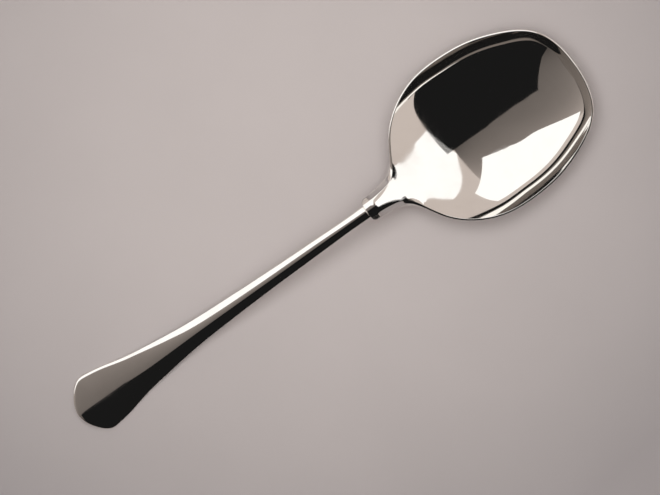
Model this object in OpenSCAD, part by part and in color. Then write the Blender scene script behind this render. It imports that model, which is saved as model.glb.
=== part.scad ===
// Serving spoon in polished metal: a wide dished bowl with a bevelled neck, and a forged handle whose
// tongue is brazed under the neck. +X runs to the bowl's tip, +Z up, the spoon lies on z = 0 as on a table,
// and the origin is under the middle of its length.

/* [Bowl] */
// Length from the shoulders to the bowl's tip
bowl_len = 100.5; // [85:0.5:120]
// Widest width of the bowl
bowl_w = 67; // [55:0.5:78]
// Height of the rim where the neck opens into the bowl
rear_rim_h = 15.6; // [13:0.1:18]
// Height of the rim at the tip
front_rim_h = 14.8; // [12:0.1:18]
// Distance from the shoulders to the lowest place of the floor
floor_at = 58; // [50:0.5:66]
// Thickness of the metal at the floor
floor_t = 1.8; // [1.2:0.1:3]
// Width of the rim, seen from above
rim_w = 0.8; // [0.5:0.05:1.3]
// Height of the rim's flat outer edge
rim_edge_h = 0.3; // [0.2:0.05:0.6]

/* [Neck] */
// Length of the neck, from the shoulders to where the bowl opens
neck_len = 15.75; // [12:0.25:20]
// Width of the neck across its bevels
neck_w = 10.4; // [10:0.1:12.5]
// Thickness of the neck at the shoulders
neck_t = 3.9; // [3:0.1:5]
// Width of the bevel on each side of the neck
bevel_w = 2.1; // [1.4:0.05:2.4]
// Height of the upright side under the bevel
neck_side_h = 0.8; // [0.4:0.05:1.2]
// Radius of the shoulders' corners, seen from above
shoulder_r = 1.9; // [1:0.05:2]
// Height of the spoon's top at the shoulders
shoulder_h = 21.4; // [20:0.1:24]
// Distance from the shoulders to where the top turns down into the bowl
turn_at = 3.6; // [2.5:0.1:5]
// Half the length of that turn
turn_half = 1; // [0.5:0.1:2]

/* [Handle] */
// Length from the handle's point to the shoulders
handle_len = 139.5; // [115:0.5:165]
// Narrowest width of the stem
stem_w = 5.25; // [4.6:0.05:5.8]
// Height of the stem's crown over its edges
stem_crown = 0.6; // [0.3:0.05:0.8]
// Length of the widening end
end_len = 53.3; // [42:0.1:62]
// Width of the end at its corners
end_w = 24.3; // [18:0.1:30]
// Thickness of the end at its edge
end_edge_t = 1.5; // [1.3:0.05:2.4]
// Height of the end's crown over its edge
end_crown = 0.95; // [0.4:0.05:1.4]
// Radius of the upper edges
edge_r = 0.7; // [0.4:0.05:0.8]
// Radius of the lower edges
under_r = 0.35; // [0.2:0.05:0.5]
// Height of the stem's underside curve
under_crown = 0.4; // [0.1:0.05:0.6]

/* [Brazed joint] */
// Length of the tongue under the neck and bowl
tongue_len = 26; // [18:0.5:32]
// Width of the tongue
tongue_w = 4.4; // [3.2:0.1:4.6]
// How far the tongue stands proud of the bowl's back
tongue_proud = 0.3; // [0.15:0.05:0.6]
// Depth of the seat at the tongue's end
seat_end_t = 0.5; // [0.3:0.05:0.8]

/* [Resting flats] */
// Depth of metal ground off under the bowl and the handle's end
flat_depth = 0.25; // [0.15:0.05:0.3]

/* [Hidden] */

// Half widths
bowl_r = bowl_w / 2;
neck_r = neck_w / 2;
stem_r = stem_w / 2;
end_r = end_w / 2;
stem_len = handle_len - end_len;

// Places along X
overall_len = bowl_len + handle_len;
shoulder_x = overall_len / 2 - bowl_len;

// The bevel falls as much as it is wide, the rim's round three quarters of its width
bevel_fall_share = 1;
rim_fall_share = 0.75;

// The dish is part round hollow and part flat floor with steep walls: share of the round form, and the
// power that shapes the walls
round_share = 0.45;
wall_power_share = 6;

// The seat of the tongue starts at this share of the neck's thickness below its top
seat_start_share = 0.5;
// The stem is this share of the tongue's proud height thicker than the tongue at the joint
joint_step_share = 0.3;

// Control points of the bowl's half outline: shares of the neck's length and half width, then of the
// length from the neck to the tip and the bowl's half width
neck_outline_shares = [[0, 0.955], [0.25, 0.955], [0.5, 1.017], [0.9, 1.2]];
bowl_outline_shares = [
  [0.037, 0.316], [0.093, 0.602], [0.196, 0.837], [0.337, 0.992], [0.488, 1.009],
  [0.646, 0.977], [0.794, 0.843], [0.921, 0.672], [0.988, 0.393]
];
// Where the bevel narrows to the rim: from and to, as shares of the neck's length
bevel_end_shares = [0.8, 1.3];
// The shoulders' corners leave at least this share of the bevel uncut
bevel_left_share = 0.1;
corner_r = min(shoulder_r, bevel_w * (1 - bevel_left_share));

// Control points of the handle's half outline from the shoulders: shares of the stem's length and half
// width, then of the end's length, measured from the point, and the end's half width
stem_outline_shares = [[0, 1.07], [0.11, 0.97], [0.246, 1.122], [0.52, 1.187], [0.772, 1.497], [1, 1.844]];
end_outline_shares = [
  [0.72, 0.575], [0.512, 0.707], [0.353, 0.908], [0.22, 0.992], [0.143, 1.03], [0.051, 0.65]
];
// Where the end's crown is highest: share of the end's length, measured from the point
dome_share = 0.2;

// How much of the stem's crown is left where the neck opens, and the height over which the neck's top edges
// run into the rim, as a share of the neck's thickness
throat_crown_share = 0.25;
rim_turn_share = 0.3;

// Side profiles, at even steps from the shoulders outwards
// Fall of the bowl's floor line from the turn to the lowest place, where it ends level
ramp_shares = [0.849, 0.694, 0.5315, 0.362, 0.204, 0.086, 0.018];
// Fall of the bowl's underside from the shoulders to the lowest place
back_shares = [0.933, 0.773, 0.621, 0.439, 0.252, 0.113, 0.021];
// Fall of the stem's underside from the shoulders to the handle's point
arch_shares = [0.93, 0.775, 0.58, 0.38, 0.2, 0.055, -0.04, 0.04];
// Change of the handle's edge thickness from the stem's to the end's
edge_t_shares = [0.93, 0.8, 0.62, 0.42, 0.22, 0.08, 0, 0];

// Numbers of steps: along each stretch between control points, across the bowl inside and outside, across
// the handle, and round an edge
bowl_steps = 5;
handle_steps = 4;
inside_steps = 10;
outside_steps = 8;
crown_steps = 6;
under_steps = 3;
edge_steps = 3;
shoulder_steps = 5;
tongue_steps = 14;
tongue_fn = 48;

// Thickness and underside of the stem's root
root_t = neck_t + tongue_proud * (1 + joint_step_share);
root_under_h = shoulder_h - root_t;
root_edge_t = root_t - stem_crown;

// Blends and curves

function mix(a, b, f) = a + (b - a) * f;
function ease(f) = let (g = max(0, min(1, f))) g * g * (3 - 2 * g);
// Level before 0 and straight after it, with a round turn between -half and half
function hinge(x, half) = x <= -half ? 0 : x >= half ? x : pow(x + half, 2) / (4 * half);

// Weights of four control points in a uniform cubic B-spline, and in its direction
function point_weights(f) =
  [pow(1 - f, 3) / 6, (3 * f - 6) * f * f / 6 + 4 / 6, ((3 - 3 * f) * f + 3) * f / 6 + 1 / 6, pow(f, 3) / 6];
function way_weights(f) =
  [-pow(1 - f, 2) / 2, (3 * f - 4) * f / 2, ((2 - 3 * f) * f + 1) / 2, f * f / 2];

// Which stretch of the control points p holds step t, and those four points
function stretch_at(p, t) = max(0, min(floor(t), len(p) - 4));
function four_at(p, i) = [for (k = [0 : 3]) p[i + k]];
function curve_at(p, t) = let (i = stretch_at(p, t)) point_weights(t - i) * four_at(p, i);
function curve_way(p, t) = let (i = stretch_at(p, t)) way_weights(t - i) * four_at(p, i);

// Control points that open a profile at a share of 1, level or straight, and those that end it, straight on
// or level at 0
function level_start(shares) = concat([shares[0], 1 + (1 - shares[0]) / 2], shares);
function straight_start(shares) = concat([2 - shares[0], 1], shares);
function straight_end(p) = let (n = len(p)) concat(p, [2 * p[n - 1] - p[n - 2]]);
function level_end(p) = let (e = p[len(p) - 1]) concat(p, [-e / 2, e]);
// Share at a place along a profile, from 0 at the shoulders to 1 at its end
function profile_at(p, f) = curve_at(p, f * (len(p) - 3));

// A half outline that leaves the shoulders straight and closes square to the middle line at its tip
function with_mirrored_ends(p) =
  let (n = len(p))
  concat([[-p[1][0], p[1][1]]], p, [[p[n - 2][0], -p[n - 2][1]]]);
// The last control point, set so that the curve itself ends at the length
function tip_point(length, last) = [length + (length - last) / 2, 0];

// Bowl: outline, heights and sections, with u measured from the shoulders towards the tip

dish_len = bowl_len - neck_len;
bowl_points =
  let (dish = [for (s = bowl_outline_shares) [neck_len + dish_len * s[0], bowl_r * s[1]]])
  concat([for (s = neck_outline_shares) [neck_len * s[0], neck_r * s[1]]], dish,
    [tip_point(bowl_len, dish[len(dish) - 1][0])]);
bowl_curve = with_mirrored_ends(bowl_points);

// From the neck's form, 0, to the bowl's, 1
function opened(u) = ease((u / neck_len - bevel_end_shares[0]) / (bevel_end_shares[1] - bevel_end_shares[0]));
function band_w(u) = mix(bevel_w, rim_w, opened(u));
function band_fall(u) = mix(bevel_fall_share, rim_fall_share, opened(u));
function edge_h(u) = mix(neck_side_h, rim_edge_h, opened(u));

// Form of the dish between its middle, 0, and its rim, 1. The neck keeps the stem's round crown
function dish(u, v) = mix(pow(v, 2), pow(v, wall_power_share), (1 - round_share) * ease(u / floor_at));

// Heights of the inside and the outside along the middle, as far as the lowest place
ramp_curve = level_end(straight_start(ramp_shares));
back_curve = level_end(level_start(back_shares));
function floor_line(u) =
  mix(floor_t, shoulder_h, profile_at(ramp_curve, hinge(u - turn_at, turn_half) / (floor_at - turn_at)));
function under_line(u) = mix(-flat_depth, shoulder_h - neck_t, profile_at(back_curve, u / floor_at));

// Height of the rim. The neck's top edges lie a little below its middle line and run into the rim
function neck_crown(u) = stem_crown * mix(1, throat_crown_share, ease(u / neck_len));
function rim_line(u) =
  let (rim = mix(rear_rim_h, front_rim_h, u / bowl_len))
  rim + hinge(floor_line(min(u, floor_at)) - neck_crown(u) - rim, neck_t * rim_turn_share);

// How far the shoulders' round corners draw the outline in
function shoulder_in(u) =
  u < corner_r ? corner_r - sqrt(pow(corner_r, 2) - pow(corner_r - u, 2)) : 0;

// Steps along the outline: close together round the shoulders' corners, then even
shoulder_step = corner_r / bowl_points[1][0];
bowl_steps_at = concat(
  [for (k = [0 : shoulder_steps - 1]) shoulder_step * (1 - cos(90 * k / shoulder_steps))],
  [for (t = [shoulder_step : 1 / bowl_steps : len(bowl_points) - 1 - 1 / bowl_steps / 2]) t],
  [len(bowl_points) - 1]
);

// Crowd the steps across the bowl towards the rim, where it is steepest
function crowded(f) = 1 - pow(1 - f, 1.5);

// Half of one section, from the middle of the inside over the rim to the middle of the outside. The
// sections stand square to the middle line as far as the lowest place, and fan out from there
function bowl_section(t) =
  let (
    is_tip = t >= len(bowl_points) - 1,
    o = curve_at(bowl_curve, t),
    way = curve_way(bowl_curve, t),
    out = [-way[1], way[0]] / norm(way),
    band = band_w(o[0]),
    inner = [o[0] - out[0] * band, is_tip ? 0 : o[1] - out[1] * band],
    outer = [o[0], is_tip ? 0 : o[1] - shoulder_in(o[0])],
    inner_foot = min(inner[0], floor_at),
    outer_foot = min(outer[0], floor_at),
    edge_z = rim_line(inner[0]),
    fall = (band - shoulder_in(o[0])) * band_fall(o[0]),
    low_z = edge_z - band * band_fall(o[0]) - edge_h(o[0])
  )
  concat(
    [for (j = [0 : inside_steps]) let (v = crowded(j / inside_steps))
      [mix(inner_foot, inner[0], v), inner[1] * v, mix(floor_line(inner_foot), edge_z, dish(o[0], v))]],
    [for (k = [1 : edge_steps]) let (f = k / edge_steps, r = opened(o[0]))
      let (across = mix(f, sin(90 * f), r), down = mix(f, 1 - cos(90 * f), r))
      [mix(inner[0], outer[0], across), mix(inner[1], outer[1], across), edge_z - fall * down]],
    [for (j = [0 : outside_steps]) let (v = crowded(1 - j / outside_steps))
      [mix(outer_foot, outer[0], v), outer[1] * v, mix(under_line(outer_foot), low_z, dish(o[0], v))]]
  );

// Handle: outline, heights and sections, with u measured from the shoulders towards the point

handle_points =
  let (end = [for (s = end_outline_shares) [handle_len - end_len * s[0], end_r * s[1]]])
  concat([for (s = stem_outline_shares) [stem_len * s[0], stem_r * s[1]]], end,
    [tip_point(handle_len, end[len(end) - 1][0])]);
handle_curve = with_mirrored_ends(handle_points);

// From the end's form, 0 at the point, to the stem's, 1
function slimmed(u) = ease((handle_len - u) / end_len);
function crown_h(u) = mix(end_crown, stem_crown, slimmed(u));
function belly_h(u) = under_crown * slimmed(u);
arch_curve = straight_end(level_start(arch_shares));
edge_t_curve = straight_end(level_start(edge_t_shares));
function handle_under(u) = root_under_h * profile_at(arch_curve, u / handle_len);
function handle_edge(u) =
  handle_under(u) + mix(end_edge_t, root_edge_t, profile_at(edge_t_curve, u / handle_len));

// Half of one section, from the middle of the top over the edge to the middle of the underside. The
// sections stand square to the middle line as far as the highest place of the end's crown, and fan out
// from there
dome_at = handle_len - end_len * dome_share;
function handle_section(t) =
  let (
    is_tip = t >= len(handle_points) - 1,
    o = curve_at(handle_curve, t),
    way = curve_way(handle_curve, t),
    out = [-way[1], way[0]] / norm(way),
    top = [o[0] - out[0] * edge_r, is_tip ? 0 : o[1] - out[1] * edge_r],
    side = [o[0], is_tip ? 0 : o[1]],
    low = [o[0] - out[0] * under_r, is_tip ? 0 : o[1] - out[1] * under_r],
    top_foot = min(top[0], dome_at),
    low_foot = min(low[0], dome_at),
    top_z = handle_edge(o[0]),
    low_z = handle_under(o[0]) + belly_h(o[0])
  )
  concat(
    [for (j = [0 : crown_steps]) let (v = j / crown_steps)
      [mix(top_foot, top[0], v), top[1] * v,
        mix(handle_edge(top_foot) + crown_h(top_foot), top_z, pow(v, 2))]],
    [for (k = [1 : edge_steps]) let (a = 90 * k / edge_steps)
      [mix(top[0], side[0], sin(a)), mix(top[1], side[1], sin(a)), top_z - edge_r * (1 - cos(a))]],
    [for (k = [0 : edge_steps - 1]) let (a = 90 * k / edge_steps)
      [mix(side[0], low[0], 1 - cos(a)), mix(side[1], low[1], 1 - cos(a)), low_z + under_r * (1 - sin(a))]],
    [for (j = [0 : under_steps]) let (v = 1 - j / under_steps)
      [mix(low_foot, low[0], v), low[1] * v, mix(handle_under(low_foot), low_z, pow(v, 2))]]
  );

// One closed skin over half sections and their mirror images. The first section is a flat face, and in the
// last one both halves lie on the middle line. Sections that fan out share their points there
module skin(halves) {
  half_n = len(halves[0]);
  ring_n = 2 * half_n - 2;
  last = len(halves) - 1;
  points = [for (h = halves) each concat(h, [for (j = [half_n - 2 : -1 : 1]) [h[j][0], -h[j][1], h[j][2]]])];
  function fan_from(j) = [for (i = [0 : last]) if (halves[i][j] == halves[last][j]) i][0];
  top_fan = fan_from(0);
  low_fan = fan_from(half_n - 1);
  function index(i, k) =
    k % ring_n == 0 ? min(i, top_fan) * ring_n
    : k == half_n - 1 ? min(i, low_fan) * ring_n + k
    : i * ring_n + (i == last ? min(k, ring_n - k) : k);
  function halved(a, b, c, d) = [[a, b, c], [a, c, d]];
  sides = [
    for (i = [0 : last - 1], k = [0 : ring_n - 1])
      each halved(index(i, k), index(i, k + 1), index(i + 1, k + 1), index(i + 1, k))
  ];
  faces = [for (f = sides) if (f[0] != f[1] && f[1] != f[2] && f[2] != f[0]) f];
  polyhedron(points, concat([[for (k = [ring_n - 1 : -1 : 0]) k]], faces));
}

// Height of the seat's slope, from the shoulders to the tongue's end
seat_start_h = shoulder_h - neck_t * seat_start_share;
seat_end_h = under_line(tongue_len) + seat_end_t;
function seat_h(u) = mix(seat_start_h, seat_end_h, u / tongue_len);

// A round-ended strip seen from above. Seen from the side it lies between the seat's slope, from start to
// end, and the points of its lower line
module tongue_form(start, end, lower_line) {
  intersection() {
    rotate([90, 0, 0])
      linear_extrude(2 * tongue_w, center = true)
        polygon(concat([[start, seat_h(start)], [end, seat_h(end)]], lower_line));
    translate([0, 0, -shoulder_h])
      linear_extrude(3 * shoulder_h) {
        translate([-neck_len, -tongue_w / 2]) square([neck_len + tongue_len - tongue_w / 2, tongue_w]);
        translate([tongue_len - tongue_w / 2, 0]) circle(tongue_w / 2, $fn = tongue_fn);
      }
  }
}

// The seat takes away everything below its slope. The tongue fills it and stands proud of the bowl's back
module seat() {
  start = -neck_len / 2;
  end = tongue_len + tongue_w;
  tongue_form(start, end, [[end, -flat_depth * 2], [start, -flat_depth * 2]]);
}

module tongue() {
  end = tongue_len + tongue_proud;
  lower_line = [
    for (k = [tongue_steps : -1 : 0]) let (u = end * k / tongue_steps) [u, under_line(u) - tongue_proud]
  ];
  tongue_form(0, end, lower_line);
}

// Everything below the table's surface
module below_table() {
  translate([-overall_len, -overall_len / 2, -overall_len]) cube([2 * overall_len, overall_len, overall_len]);
}

// The dished bowl and its neck, with the seat for the tongue let into its back
module bowl() {
  color("gainsboro")
    difference() {
      translate([shoulder_x, 0, 0])
        difference() {
          skin([for (t = bowl_steps_at) bowl_section(t)]);
          seat();
        }
      below_table();
    }
}

// The forged handle, in one with its tongue
module handle() {
  color("silver")
    difference() {
      translate([shoulder_x, 0, 0])
        union() {
          rotate([0, 0, 180])
            skin([for (t = [0 : 1 / handle_steps : len(handle_points) - 1]) handle_section(t)]);
          tongue();
        }
      below_table();
    }
}

bowl();
handle();
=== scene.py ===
import math
import bmesh
import bpy
import numpy as np
from mathutils import Matrix, Vector


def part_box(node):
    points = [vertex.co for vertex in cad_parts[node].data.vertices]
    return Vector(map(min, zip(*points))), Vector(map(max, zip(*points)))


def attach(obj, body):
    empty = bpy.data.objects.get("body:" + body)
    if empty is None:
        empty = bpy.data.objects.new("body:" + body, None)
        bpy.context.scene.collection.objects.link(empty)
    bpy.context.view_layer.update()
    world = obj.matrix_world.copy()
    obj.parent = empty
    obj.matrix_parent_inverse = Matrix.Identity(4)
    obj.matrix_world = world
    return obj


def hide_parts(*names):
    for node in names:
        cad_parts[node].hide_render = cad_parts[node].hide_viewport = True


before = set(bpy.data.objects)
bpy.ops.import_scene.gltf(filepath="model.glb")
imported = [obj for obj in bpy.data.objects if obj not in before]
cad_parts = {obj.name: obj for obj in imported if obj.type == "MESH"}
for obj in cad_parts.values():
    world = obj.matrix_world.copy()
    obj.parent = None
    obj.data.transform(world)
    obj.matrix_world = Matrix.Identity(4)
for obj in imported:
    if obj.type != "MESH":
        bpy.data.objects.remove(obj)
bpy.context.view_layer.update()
print("frame loaded:", sorted(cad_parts))

mm = 0.001


def mix(a, b, f):
    return a + (b - a) * f


def ease(f):
    g = np.clip(f, 0, 1)
    return g * g * (3 - 2 * g)


# weights of four control points in a uniform cubic B-spline, and in its direction
def placeWeights(f):
    return [(1 - f) ** 3 / 6, ((3 * f - 6) * f * f + 4) / 6, (((3 - 3 * f) * f + 3) * f + 1) / 6, f ** 3 / 6]


def wayWeights(f):
    return [-(1 - f) ** 2 / 2, (3 * f - 4) * f / 2, ((2 - 3 * f) * f + 1) / 2, f * f / 2]


def onCurve(points, t, weights=placeWeights):
    points = np.asarray(points, float)
    t = np.clip(np.atleast_1d(np.asarray(t, float)), 0, len(points) - 3)
    first = np.minimum(t.astype(int), len(points) - 4)
    parts = weights(t - first)
    return sum((w * points[first + k].T).T for k, w in enumerate(parts))


# points that open a profile at 1, level or straight, and that end it, straight on or level at 0
def levelStart(shares):
    return [shares[0], 1 + (1 - shares[0]) / 2] + shares


def straightStart(shares):
    return [2 - shares[0], 1] + shares


def straightEnd(points):
    return points + [2 * points[-1] - points[-2]]


def levelEnd(points):
    return points + [-points[-1] / 2, points[-1]]


# level before 0 and straight after it, with a round turn between -half and half
def hinge(x, half):
    return np.where(x <= -half, 0, np.where(x >= half, x, (x + half) ** 2 / (4 * half)))


def profileAt(points, f):
    f = np.asarray(f, float)
    return onCurve(points, f.ravel() * (len(points) - 3)).reshape(f.shape)


def mirroredEnds(points, length):
    tip = [length + (length - points[-1][0]) / 2, 0]
    body = points + [tip]
    return [[-body[1][0], body[1][1]]] + body + [[body[-2][0], -body[-2][1]]]


# a small round between two neighbouring faces, as points without its two ends
def roundOff(a, corner, b, steps):
    return [((1 - k) ** 2 * a.T + 2 * k * (1 - k) * corner.T + k * k * b.T).T
            for k in np.linspace(0, 1, steps + 1)[1:-1]]


# rows of half sections, each (sections, 3), to closed rings
def closedRings(rows):
    half = np.stack(rows, axis=1)
    other = half[:, -2:0:-1, :] * np.array([1, -1, 1])
    return np.concatenate([half, other], axis=1)


# turn the edge round an end face by a small radius, only outside a strip along the middle
def softenEnd(rings, u, radius, keepHalf):
    near = u < radius
    for i in np.nonzero(near)[0]:
        ring = rings[i]
        turn = np.roll(ring, -1, axis=0) - np.roll(ring, 1, axis=0)
        inward = np.stack([np.zeros(len(ring)), -turn[:, 2], turn[:, 1]], axis=1)
        inward /= np.maximum(np.linalg.norm(inward, axis=1), 1e-9)[:, None]
        centre = ring.mean(axis=0)
        if np.sum(inward * (centre - ring)) < 0:
            inward = -inward
        depth = radius - math.sqrt(max(radius ** 2 - (radius - u[i]) ** 2, 0))
        rings[i] = ring + inward * (depth * ease((np.abs(ring[:, 1]) - keepHalf) / 0.5))[:, None]
    return rings


def skinMesh(name, shells):
    mesh = bmesh.new()
    for rings in shells:
        grid = [[mesh.verts.new(Vector(p) * mm) for p in ring] for ring in rings]
        count = len(grid[0])
        for a, b in zip(grid[:-1], grid[1:]):
            for k in range(count):
                n = (k + 1) % count
                mesh.faces.new((a[k], a[n], b[n], b[k]))
        for ring, turned in ((grid[0], True), (grid[-1], False)):
            if np.ptp([v.co.y for v in ring]) > 1e-6:
                mesh.faces.new(ring[::-1] if turned else ring)
    bmesh.ops.remove_doubles(mesh, verts=mesh.verts, dist=2e-7)
    bmesh.ops.dissolve_degenerate(mesh, edges=mesh.edges, dist=1e-8)
    bmesh.ops.recalc_face_normals(mesh, faces=mesh.faces)
    for face in mesh.faces:
        face.smooth = True
    data = bpy.data.meshes.new(name)
    mesh.to_mesh(data)
    mesh.free()
    piece = bpy.data.objects.new(name, data)
    bpy.context.scene.collection.objects.link(piece)
    return piece


# bowl and neck, in millimetres from the shoulders

bowl = dict(
    length=100.5, width=67, rearRim=15.6, frontRim=14.8, floorAt=58, floorT=1.8, rimW=0.8, rimEdge=0.3,
    neckLength=15.75, neckWidth=10.4, neckT=3.9, bevelW=2.1, neckSide=0.8, cornerR=1.89, shoulderH=21.4,
    turnAt=3.6, turnHalf=1, crown=0.6, throatCrown=0.25, rimTurn=0.3, roundShare=0.45, wallPower=6,
    flat=0.25, bevelEnd=(0.8, 1.3), rimFall=0.75,
    neckOutline=[[0, 0.955], [0.25, 0.955], [0.5, 1.017], [0.9, 1.2]],
    bowlOutline=[[0.037, 0.316], [0.093, 0.602], [0.196, 0.837], [0.337, 0.992], [0.488, 1.009],
                 [0.646, 0.977], [0.794, 0.843], [0.921, 0.672], [0.988, 0.393]],
    ramp=[0.849, 0.694, 0.5315, 0.362, 0.204, 0.086, 0.018],
    back=[0.933, 0.773, 0.621, 0.439, 0.252, 0.113, 0.021],
    edgeRound=0.13, endRound=0.14, steps=16, insideRows=56, outsideRows=34,
)


def bowlFloor(u):
    b = bowl
    along = hinge(u - b["turnAt"], b["turnHalf"]) / (b["floorAt"] - b["turnAt"])
    return mix(b["floorT"], b["shoulderH"], profileAt(levelEnd(straightStart(b["ramp"])), along))


def bowlUnder(u):
    b = bowl
    return mix(-b["flat"], b["shoulderH"] - b["neckT"],
               profileAt(levelEnd(levelStart(b["back"])), u / b["floorAt"]))


def bowlRim(u):
    b = bowl
    rim = mix(b["rearRim"], b["frontRim"], u / b["length"])
    crown = b["crown"] * mix(1, b["throatCrown"], ease(u / b["neckLength"]))
    return rim + hinge(bowlFloor(np.minimum(u, b["floorAt"])) - crown - rim, b["neckT"] * b["rimTurn"])


def bowlRings():
    b = bowl
    dish = b["length"] - b["neckLength"]
    neck = [[b["neckLength"] * x, b["neckWidth"] / 2 * w] for x, w in b["neckOutline"]]
    hollow = [[b["neckLength"] + dish * x, b["width"] / 2 * w] for x, w in b["bowlOutline"]]
    outline = mirroredEnds(neck + hollow, b["length"])
    cornerStep = b["cornerR"] / outline[2][0]
    soft = np.linspace(0, 1, 6) ** 2 * b["endRound"] / outline[2][0]
    corner = cornerStep * (1 - np.cos(np.linspace(0, np.pi / 2, 13)))
    t = np.concatenate([soft, corner[corner > soft[-1] * 1.3],
                        np.arange(cornerStep, len(outline) - 3, 1 / b["steps"])[1:], [len(outline) - 3]])
    o = onCurve(outline, t)
    way = onCurve(outline, t, wayWeights)
    out = np.stack([-way[:, 1], way[:, 0]], axis=1) / np.linalg.norm(way, axis=1)[:, None]
    u = o[:, 0]
    opened = ease((u / b["neckLength"] - b["bevelEnd"][0]) / (b["bevelEnd"][1] - b["bevelEnd"][0]))
    band = mix(b["bevelW"], b["rimW"], opened)
    bandFall = mix(1, b["rimFall"], opened)
    drawn = b["cornerR"] - np.sqrt(np.maximum(b["cornerR"] ** 2 - np.maximum(b["cornerR"] - u, 0) ** 2, 0))
    inner = o - out * band[:, None]
    outer = np.stack([u, o[:, 1] - drawn], axis=1)
    inner[-1, 1] = outer[-1, 1] = 0
    edgeZ = bowlRim(inner[:, 0])
    fall = (band - drawn) * bandFall
    lowZ = edgeZ - band * bandFall - mix(b["neckSide"], b["rimEdge"], opened)
    flatShare = (1 - b["roundShare"]) * ease(u / b["floorAt"])

    def surface(edge, topZ, lineZ, v):
        foot = np.minimum(edge[:, 0], b["floorAt"])
        form = mix(v ** 2, v ** b["wallPower"], flatShare)
        return np.stack([mix(foot, edge[:, 0], v), edge[:, 1] * v, mix(lineZ(foot), topZ, form)], axis=1)

    # the share across at which a surface is one edge radius short of its edge
    def shortOf(edge, topZ, lineZ):
        foot = np.minimum(edge[:, 0], b["floorAt"])
        rise = np.abs(topZ - lineZ(foot)) * mix(2, b["wallPower"], flatShare)
        reach = np.hypot(edge[:, 0] - foot, edge[:, 1])
        return 1 - b["edgeRound"] / np.hypot(reach, rise)

    def bandAt(f):
        across = mix(f, np.sin(np.pi / 2 * f), opened)
        down = mix(f, 1 - np.cos(np.pi / 2 * f), opened)
        return np.stack([mix(inner[:, 0], outer[:, 0], across), mix(inner[:, 1], outer[:, 1], across),
                         edgeZ - fall * down], axis=1)

    ones = np.ones(len(u))
    bandLength = np.maximum(np.hypot(band - drawn, fall), 3 * b["edgeRound"])
    bandStart, bandStop = 0.8 * b["edgeRound"] / bandLength, 1 - b["edgeRound"] / bandLength
    edgeTop, edgeLow = bandAt(ones), np.stack([outer[:, 0], outer[:, 1], lowZ], axis=1)
    down = np.array([0, 0, b["edgeRound"]])
    topStop = shortOf(inner, edgeZ, bowlFloor)
    lowStop = shortOf(outer, lowZ, bowlUnder)
    crowded = 1 - (1 - np.linspace(0, 1, b["insideRows"])) ** 1.5
    rows = [surface(inner, edgeZ, bowlFloor, c * topStop) for c in crowded]
    rows += roundOff(rows[-1], bandAt(0 * ones), bandAt(bandStart), 5)
    rows += [bandAt(mix(bandStart, bandStop, f)) for f in np.linspace(0, 1, 9)]
    rows += roundOff(rows[-1], edgeTop, edgeTop - down, 5)
    rows += [edgeTop - down, edgeLow + down]
    crowdedOut = (1 - (1 - np.linspace(0, 1, b["outsideRows"])) ** 1.5)[::-1]
    lowRows = [surface(outer, lowZ, bowlUnder, c * lowStop) for c in crowdedOut]
    rows += roundOff(rows[-1], edgeLow, lowRows[0], 5) + lowRows
    return softenEnd(closedRings(rows), u, b["endRound"], 2.9)


# handle: stem and spade-shaped end, in millimetres from the shoulders towards the point

handle = dict(
    length=139.5, stemWidth=5.25, stemCrown=0.6, endLength=53.3, endWidth=24.3, endEdge=1.5, endCrown=0.95,
    edgeR=0.7, endEdgeR=1.05, edgeSlope=0.75, underR=0.35, underCrown=0.4, domeShare=0.2, rootProud=0.39,
    stemOutline=[[0, 1.07], [0.11, 0.97], [0.246, 1.122], [0.52, 1.187], [0.772, 1.497], [1, 1.844]],
    endOutline=[[0.72, 0.575], [0.512, 0.707], [0.353, 0.908], [0.22, 0.992], [0.143, 1.03], [0.051, 0.65]],
    arch=[0.93, 0.775, 0.58, 0.38, 0.2, 0.055, -0.04, 0.04],
    edgeT=[0.93, 0.8, 0.62, 0.42, 0.22, 0.08, 0, 0],
    edgeReach=[0.7, 0.7, 0.7, 0.85, 1.1, 1.45, 1.75, 1.9, 1.35, 1.1, 1.05, 1.05],
    edgeRound=0.16, steps=14, topRows=26, underRows=12,
)

tongue = dict(length=26, width=4.4, proud=0.3, edgeRound=0.12, sunk=0.6)


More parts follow.
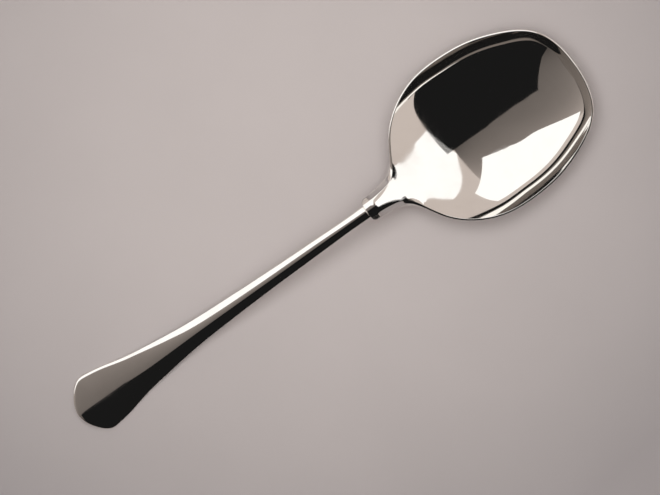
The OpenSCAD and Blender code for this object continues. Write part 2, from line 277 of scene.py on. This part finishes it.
def handleRings():
    h = handle
    stem = h["length"] - h["endLength"]
    rootT = bowl["neckT"] + h["rootProud"]
    rootUnder = bowl["shoulderH"] - rootT
    slim = [[stem * x, h["stemWidth"] / 2 * w] for x, w in h["stemOutline"]]
    spade = [[h["length"] - h["endLength"] * x, h["endWidth"] / 2 * w] for x, w in h["endOutline"]]
    outline = mirroredEnds(slim + spade, h["length"])
    t = np.append(np.arange(0, len(outline) - 3, 1 / h["steps"]), len(outline) - 3)
    o = onCurve(outline, t)
    way = onCurve(outline, t, wayWeights)
    out = np.stack([-way[:, 1], way[:, 0]], axis=1) / np.linalg.norm(way, axis=1)[:, None]
    domeAt = h["length"] - h["endLength"] * h["domeShare"]

    def under(u):
        return rootUnder * profileAt(straightEnd(levelStart(h["arch"])), u / h["length"])

    def edge(u):
        share = profileAt(straightEnd(levelStart(h["edgeT"])), u / h["length"])
        return under(u) + mix(h["endEdge"], rootT - h["stemCrown"], share)

    def slimmed(u):
        return ease((h["length"] - u) / h["endLength"])

    u = o[:, 0]
    reachIn = profileAt(h["edgeReach"], u / h["length"])
    top = o - out * reachIn[:, None]
    low = o - out * h["underR"]
    top[-1, 1] = low[-1, 1] = o[-1, 1] = 0
    topZ = edge(u)
    lowZ = under(u) + h["underCrown"] * slimmed(u)

    topFoot = np.minimum(top[:, 0], domeAt)
    topCrown = mix(h["endCrown"], h["stemCrown"], slimmed(topFoot))
    reach = np.maximum(np.hypot(top[:, 0] - topFoot, top[:, 1]), 1)
    # how far the crown's slope would fall across the edge, so that the edge goes on from it without a crease
    facing = ((top[:, 0] - topFoot) * out[:, 0] + top[:, 1] * out[:, 1]) / reach
    edgeFall = mix(h["endEdgeR"], h["edgeR"], slimmed(u))
    slopeFall = np.minimum(2 * topCrown / reach * facing * reachIn, h["edgeSlope"] * edgeFall)

    def topAt(v):
        return np.stack([mix(topFoot, top[:, 0], v), top[:, 1] * v,
                         mix(edge(topFoot) + topCrown, topZ, v ** 2)], axis=1)

    def underAt(v):
        foot = np.minimum(low[:, 0], domeAt)
        return np.stack([mix(foot, low[:, 0], v), low[:, 1] * v, mix(under(foot), lowZ, v ** 2)], axis=1)

    def upperRound(a):
        fall = slopeFall * math.sin(a) + (edgeFall - slopeFall) * (1 - math.cos(a))
        return np.stack([*mix(top, o, math.sin(a)).T, topZ - fall], axis=1)

    def lowerRound(a):
        return np.stack([*mix(o, low, 1 - math.cos(a)).T, lowZ + h["underR"] * (1 - math.sin(a))], axis=1)

    topStop = 1 - h["edgeRound"] / reach
    rows = [topAt(c * topStop) for c in np.linspace(0, 1, h["topRows"])]
    first = h["edgeRound"] / h["edgeR"]
    rows += roundOff(rows[-1], upperRound(0), upperRound(first), 5)
    rows += [upperRound(a) for a in np.linspace(first, np.pi / 2, 9)]
    rows += [lowerRound(a) for a in np.linspace(0, np.pi / 2, 8)]
    rows += [underAt(c * np.ones(len(u))) for c in np.linspace(1, 0, h["underRows"])[1:]]
    rings = closedRings(rows)
    return rings * np.array([-1, 1, 1])


# the tongue under the neck: a round-ended strip that stands a little proud of the bowl's back
def tongueRings():
    g = tongue
    half = g["width"] / 2
    spots = np.concatenate([np.linspace(0, g["length"] - half, 40),
                            g["length"] - half + half * np.sin(np.linspace(0, np.pi / 2, 24))[1:]])
    beyond = np.maximum(spots - (g["length"] - half), 0)
    y = np.sqrt(np.maximum(half ** 2 - beyond ** 2, 0))
    y[-1] = 0
    lowZ = bowlUnder(spots) - g["proud"]
    r = g["edgeRound"]
    rows = [np.stack([spots, y * 0, lowZ + g["sunk"] + g["proud"]], axis=1),
            np.stack([spots, y, lowZ + g["sunk"] + g["proud"]], axis=1)]
    for a in np.linspace(0, np.pi / 2, 6):
        drawn = r * (1 - math.cos(a))
        x = np.minimum(spots, g["length"] - half + beyond * (half - drawn) / half)
        rows.append(np.stack([x, y * (half - drawn) / half, lowZ + r * (1 - math.sin(a))], axis=1))
    last = rows[-1]
    rows += [last * np.array([1, s, 1]) for s in (0.66, 0.33, 0)]
    return closedRings(rows)


def toFrame(rings, low, high):
    start = (handle["length"] + bowl["length"]) / 2 - bowl["length"]
    placed = rings + np.array([start, 0, 0])
    placed[:, :, 2] = np.maximum(placed[:, :, 2], 0)
    return np.clip(placed, np.array(low) / mm, np.array(high) / mm)


bowlPiece = skinMesh("bowl_shell", [toFrame(bowlRings(), *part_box("bowl"))])
handlePiece = skinMesh("handle_forging", [toFrame(handleRings(), *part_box("handle")),
                                          toFrame(tongueRings(), *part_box("handle"))])
for piece, node, slot in ((bowlPiece, "bowl", "bowl_metal"), (handlePiece, "handle", "handle_metal")):
    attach(piece, "root")
    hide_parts(node)
    print(piece.name, len(piece.data.polygons), "faces")


# finishes

def addNode(tree, kind, **values):
    node = tree.nodes.new(kind)
    for name, value in values.items():
        setattr(node, name, value)
    return node


def setSockets(node, **values):
    for name, value in values.items():
        node.inputs[name.replace("_", " ")].default_value = value
    return node


def newMaterial(name):
    material = bpy.data.materials.new(name)
    material.use_nodes = True
    tree = material.node_tree
    return material, tree, tree.nodes["Principled BSDF"]


# wear on polished metal: soft cloth smudges, fine hairlines along one way and a very slight wave
def wearGroup():
    group = bpy.data.node_groups.new("polishWear", "ShaderNodeTree")
    for name, kind in (("Place", "Vector"), ("Smudge Size", "Float"),
                       ("Line Size", "Float"), ("Wave Size", "Float"),
                       ("Smooth", "Float"), ("Smudged", "Float"), ("Lined", "Float"), ("Line Depth", "Float"),
                       ("Clean", "Color"), ("Dull", "Color")):
        group.interface.new_socket(name, in_out="INPUT", socket_type="NodeSocket" + kind)
    for name, kind in (("Color", "Color"), ("Roughness", "Float"), ("Height", "Float")):
        group.interface.new_socket(name, in_out="OUTPUT", socket_type="NodeSocket" + kind)
    given = addNode(group, "NodeGroupInput").outputs
    result = addNode(group, "NodeGroupOutput").inputs
    link = group.links.new

    def noise(size, place, detail, rough=0.5):
        node = addNode(group, "ShaderNodeTexNoise")
        setSockets(node, Detail=detail, Roughness=rough)
        link(place, node.inputs["Vector"])
        link(size, node.inputs["Scale"])
        return node.outputs["Fac"]

    def maths(operation, a, b):
        node = addNode(group, "ShaderNodeMath", operation=operation)
        for socket, value in zip(node.inputs, (a, b)):
            if isinstance(value, bpy.types.NodeSocket):
                link(value, socket)
            else:
                socket.default_value = value
        return node.outputs[0]

    stretched = addNode(group, "ShaderNodeVectorMath", operation="MULTIPLY")
    stretched.inputs[1].default_value = (0.03, 1, 1)
    link(given["Place"], stretched.inputs[0])
    smudge = addNode(group, "ShaderNodeMapRange", interpolation_type="SMOOTHSTEP")
    setSockets(smudge, From_Min=0.45, From_Max=0.72)
    link(noise(given["Smudge Size"], given["Place"], 4, 0.6), smudge.inputs["Value"])
    lines = addNode(group, "ShaderNodeMapRange", interpolation_type="SMOOTHSTEP")
    setSockets(lines, From_Min=0.5, From_Max=0.75)
    link(noise(given["Line Size"], stretched.outputs["Vector"], 2, 0.5), lines.inputs["Value"])
    marked = maths("ADD", maths("MULTIPLY", smudge.outputs["Result"], given["Smudged"]),
                   maths("MULTIPLY", lines.outputs["Result"], given["Lined"]))
    link(maths("ADD", marked, given["Smooth"]), result["Roughness"])
    colour = addNode(group, "ShaderNodeMix", data_type="RGBA")
    link(smudge.outputs["Result"], colour.inputs["Factor"])
    link(given["Clean"], colour.inputs["A"])
    link(given["Dull"], colour.inputs["B"])
    link(colour.outputs["Result"], result["Color"])
    wave = noise(given["Wave Size"], given["Place"], 1)
    scratched = maths("MULTIPLY", lines.outputs["Result"], given["Line Depth"])
    link(maths("SUBTRACT", wave, scratched), result["Height"])
    return group


polishWear = wearGroup()


def polishedMetal(name, look):
    metal, tree, shader = newMaterial(name)
    shader.inputs["Metallic"].default_value = 1
    wear = addNode(tree, "ShaderNodeGroup", node_tree=polishWear)
    setSockets(wear, **{key: value for key, value in look.items() if key != "waveHeight"})
    bump = addNode(tree, "ShaderNodeBump")
    setSockets(bump, Strength=1, Distance=look["waveHeight"])
    place = addNode(tree, "ShaderNodeTexCoord")
    tree.links.new(place.outputs["Object"], wear.inputs["Place"])
    tree.links.new(wear.outputs["Color"], shader.inputs["Base Color"])
    tree.links.new(wear.outputs["Roughness"], shader.inputs["Roughness"])
    tree.links.new(wear.outputs["Height"], bump.inputs["Height"])
    tree.links.new(bump.outputs["Normal"], shader.inputs["Normal"])
    return metal


bowlLook = dict(Smudge_Size=55, Line_Size=900, Wave_Size=110, Smooth=0.03, Smudged=0.045, Lined=0.025,
                Line_Depth=0.012, waveHeight=0.000012,
                Clean=(0.93, 0.91, 0.885, 1), Dull=(0.9, 0.875, 0.85, 1))
handleLook = dict(Smudge_Size=70, Line_Size=1400, Wave_Size=90, Smooth=0.035, Smudged=0.05, Lined=0.05,
                  Line_Depth=0.02, waveHeight=0.000008,
                  Clean=(0.93, 0.91, 0.885, 1), Dull=(0.9, 0.875, 0.85, 1))
bowlPiece.data.materials.append(polishedMetal("polishedBowl", bowlLook))
handlePiece.data.materials.append(polishedMetal("polishedHandle", handleLook))
print("metals made")


# floor

# the floor's pale tone, grain and cloud are its own; the fall from the middle colour to the edge colour is
# painted light falloff, a painted pool of light
floorLook = dict(middle=(0.585, 0.54, 0.53, 1), edge=(0.365, 0.34, 0.342, 1), paintedPoolCentre=(0.019, 0.048, 0),
                 reach=0.19, grainSize=2600, grain=0.02, cloudSize=14, cloud=0.03)
floorMesh = bpy.data.meshes.new("table_top")
floorMesh.from_pydata([(-2, -2, 0), (2, -2, 0), (2, 2, 0), (-2, 2, 0)], [], [(0, 1, 2, 3)])
floor = bpy.data.objects.new("table_top", floorMesh)
bpy.context.scene.collection.objects.link(floor)


# a pale sheet with a painted pool of light: lightest behind the spoon's middle and painted darker towards its
# edges, with a fine grain
def paperAndPaintedLight(look):
    paper, tree, shader = newMaterial("palePaperPaintedLight")
    link = tree.links.new
    place = addNode(tree, "ShaderNodeTexCoord").outputs["Object"]
    away = addNode(tree, "ShaderNodeVectorMath", operation="DISTANCE")
    link(place, away.inputs[0])
    away.inputs[1].default_value = look["paintedPoolCentre"]
    far = addNode(tree, "ShaderNodeMapRange")
    setSockets(far, From_Max=look["reach"])
    link(away.outputs["Value"], far.inputs["Value"])
    paintedFalloff = addNode(tree, "ShaderNodeMath", operation="POWER")
    link(far.outputs["Result"], paintedFalloff.inputs[0])
    paintedFalloff.inputs[1].default_value = 2
    # painted pool of light: the colour darkens with distance from the lit centre
    paintedLightPool = addNode(tree, "ShaderNodeMix", data_type="RGBA")
    link(paintedFalloff.outputs[0], paintedLightPool.inputs["Factor"])
    setSockets(paintedLightPool, A=look["middle"], B=look["edge"])
    colour = paintedLightPool.outputs["Result"]
    for size, amount in ((look["grainSize"], look["grain"]), (look["cloudSize"], look["cloud"])):
        noise = addNode(tree, "ShaderNodeTexNoise")
        setSockets(noise, Scale=size, Detail=3)
        link(place, noise.inputs["Vector"])
        shade = addNode(tree, "ShaderNodeMapRange")
        setSockets(shade, From_Min=0.25, From_Max=0.75, To_Min=1 - amount, To_Max=1 + amount)
        link(noise.outputs["Fac"], shade.inputs["Value"])
        mixed = addNode(tree, "ShaderNodeVectorMath", operation="SCALE")
        link(colour, mixed.inputs[0])
        link(shade.outputs["Result"], mixed.inputs["Scale"])
        colour = mixed.outputs["Vector"]
    link(colour, shader.inputs["Base Color"])
    setSockets(shader, Roughness=0.9, Specular_IOR_Level=0)
    return paper


floorMesh.materials.append(paperAndPaintedLight(floorLook))
print("floor laid")


# camera

view = dict(distance=2.4, tilt=0.3, across=0.2598, centre=(-0.00042, -0.0031, 0.008))
imageRight = Vector((0.81727, -0.57626, 0))
imageUp = Vector((0.57626, 0.81727, 0))
camera = bpy.data.cameras.new("camera")
camera.sensor_width = 36
camera.lens = 36 * view["distance"] / view["across"]
cameraObject = bpy.data.objects.new("camera", camera)
bpy.context.scene.collection.objects.link(cameraObject)
tilt = math.radians(view["tilt"])
back = (Vector((0, 0, 1)) * math.cos(tilt) - imageUp * math.sin(tilt)).normalized()
up = (imageUp * math.cos(tilt) + Vector((0, 0, 1)) * math.sin(tilt)).normalized()
cameraObject.location = Vector(view["centre"]) + back * view["distance"]
turn = np.array([imageRight, up, back]).T
cameraObject.rotation_mode = "QUATERNION"
cameraObject.rotation_quaternion = Matrix([list(r) for r in turn]).to_quaternion()
bpy.context.scene.camera = cameraObject
print("camera set")


# light: plain lamps for the floor, and a few plain studio cards far from the metal, which mirrors them

studio = dict(
    worldColour=(0.6, 0.525, 0.48), worldStrength=1, worldOnRough=0.5,
    height=0.6, gap=0.002, reach=8, dark=0.01, white=(1.15, 1.13, 1.1), warm=(1, 0.87, 0.79), plain=(1, 1, 1),
)

world = bpy.data.worlds.new("room")
bpy.context.scene.world = world
world.use_nodes = True
room = world.node_tree.nodes["Background"]
room.inputs["Color"].default_value = (*studio["worldColour"], 1)
ray = addNode(world.node_tree, "ShaderNodeLightPath")
strength = addNode(world.node_tree, "ShaderNodeMapRange")
setSockets(strength, To_Min=studio["worldStrength"], To_Max=studio["worldOnRough"])
world.node_tree.links.new(ray.outputs["Is Diffuse Ray"], strength.inputs["Value"])
world.node_tree.links.new(strength.outputs["Result"], room.inputs["Strength"])


def softBox(name, spot, aim, size, watts):
    lamp = bpy.data.lights.new(name, "AREA")
    lamp.shape = "RECTANGLE"
    lamp.size, lamp.size_y = size
    lamp.energy = watts
    box = bpy.data.objects.new(name, lamp)
    bpy.context.scene.collection.objects.link(box)
    box.location = spot
    box.rotation_mode = "QUATERNION"
    box.rotation_quaternion = (Vector(aim) - Vector(spot)).to_track_quat("-Z", "Y")
    box.visible_camera = False
    box.visible_glossy = False
    return box


def glowLook(name):
    look = bpy.data.materials.new(name)
    look.use_nodes = True
    tree = look.node_tree
    tree.nodes.clear()
    glow = addNode(tree, "ShaderNodeAttribute", attribute_name="glow")
    emission = addNode(tree, "ShaderNodeEmission")
    tree.links.new(glow.outputs["Color"], emission.inputs["Color"])
    tree.links.new(emission.outputs["Emission"], addNode(tree, "ShaderNodeOutputMaterial").inputs["Surface"])
    return look


cardGlow = glowLook("cardGlow")


# a card that only reflections see, from its corners and their levels
def studioCard(name, spots, faces, levels, tint):
    data = bpy.data.meshes.new(name)
    data.from_pydata(spots, [], faces)
    glow = data.color_attributes.new("glow", "FLOAT_COLOR", "POINT")
    for place, level in zip(glow.data, levels):
        place.color = (*(level * c for c in tint), 1)
    data.materials.append(cardGlow)
    card = bpy.data.objects.new(name, data)
    bpy.context.scene.collection.objects.link(card)
    card.visible_camera = card.visible_diffuse = card.visible_shadow = False
    return card


def flatCard(name, corners, level, tint, height):
    spots = [(x, y, height) for x, y in corners]
    return studioCard(name, spots, [tuple(range(len(spots)))], [level] * len(spots), tint)


def wallCard(name, start, end, level, tint):
    spots = [(*start, 0), (*end, 0), (*end, studio["height"]), (*start, studio["height"])]
    return studioCard(name, spots, [(0, 1, 2, 3)], [level] * 4, tint)


# a fan between two lines that leave from the same side, dark at the first and light at the second
def rampCard(name, first, second, levels, tint, height, steps=24, rows=6):
    first, second = np.array(first), np.array(second)
    spots, glows = [], []
    for r in range(rows + 1):
        start, end = mix(first, second, r / rows)
        # steps grow with the distance
        spots += [(*mix(start, end, (k / steps) ** 3), height) for k in range(steps + 1)]
        glows += [mix(*levels, r / rows)] * (steps + 1)
    wide = steps + 1
    faces = [(a, a + 1, a + wide + 1, a + wide)
             for r in range(rows) for a in range(r * wide, (r + 1) * wide - 1)]
    return studioCard(name, spots, faces, glows, tint)


far, reach = studio["height"], studio["reach"]
cards = dict(
    dark=[(-reach, -reach), (-reach, -2.8), (-1, -0.35), (-0.18, 0), (0.6, 0), (0.75, -0.4), (4, -reach)],
    white=[(-2.4, 1.8), (0.1, 0.14), (0.3, 0.12), (0.75, 0.5), (1.2, 2.4)],
    window=[(0.5, 0.03), (0.65, 0.2), (0.95, 0.45), (0.85, -0.25), (0.7, -0.25)],
    rampFirst=[(0.5, -0.02), (-reach, -2.8)], rampSecond=[(0.5, 0.3), (-reach, 6)], rampLevels=(0.07, 0.42),
    sideLevel=0.1, sideEnd=5,
)
flatCard("card_dark", cards["dark"], studio["dark"], studio["plain"], far)
flatCard("card_white", cards["white"], 1, studio["white"], far)
flatCard("card_window", cards["window"], 1, studio["white"], far)
rampCard("card_ramp", cards["rampFirst"], cards["rampSecond"], cards["rampLevels"], studio["warm"],
         far + studio["gap"])
wallCard("card_wall_dark", (-reach, -reach), (cards["sideEnd"], -reach), studio["dark"], studio["plain"])
wallCard("card_wall_left", (-reach, -reach), (-reach, reach), cards["sideLevel"], studio["warm"])

softBox("key_soft", (0.03, 0.16, 1.3), (0, 0, 0), (0.9, 0.9), 9)
softBox("fill_soft", (0, -0.1, 1.6), (0, 0, 0), (1.4, 1.4), 5)
print("lights set")

bpy.context.scene.view_settings.view_transform = "Standard"
print("scene ready")
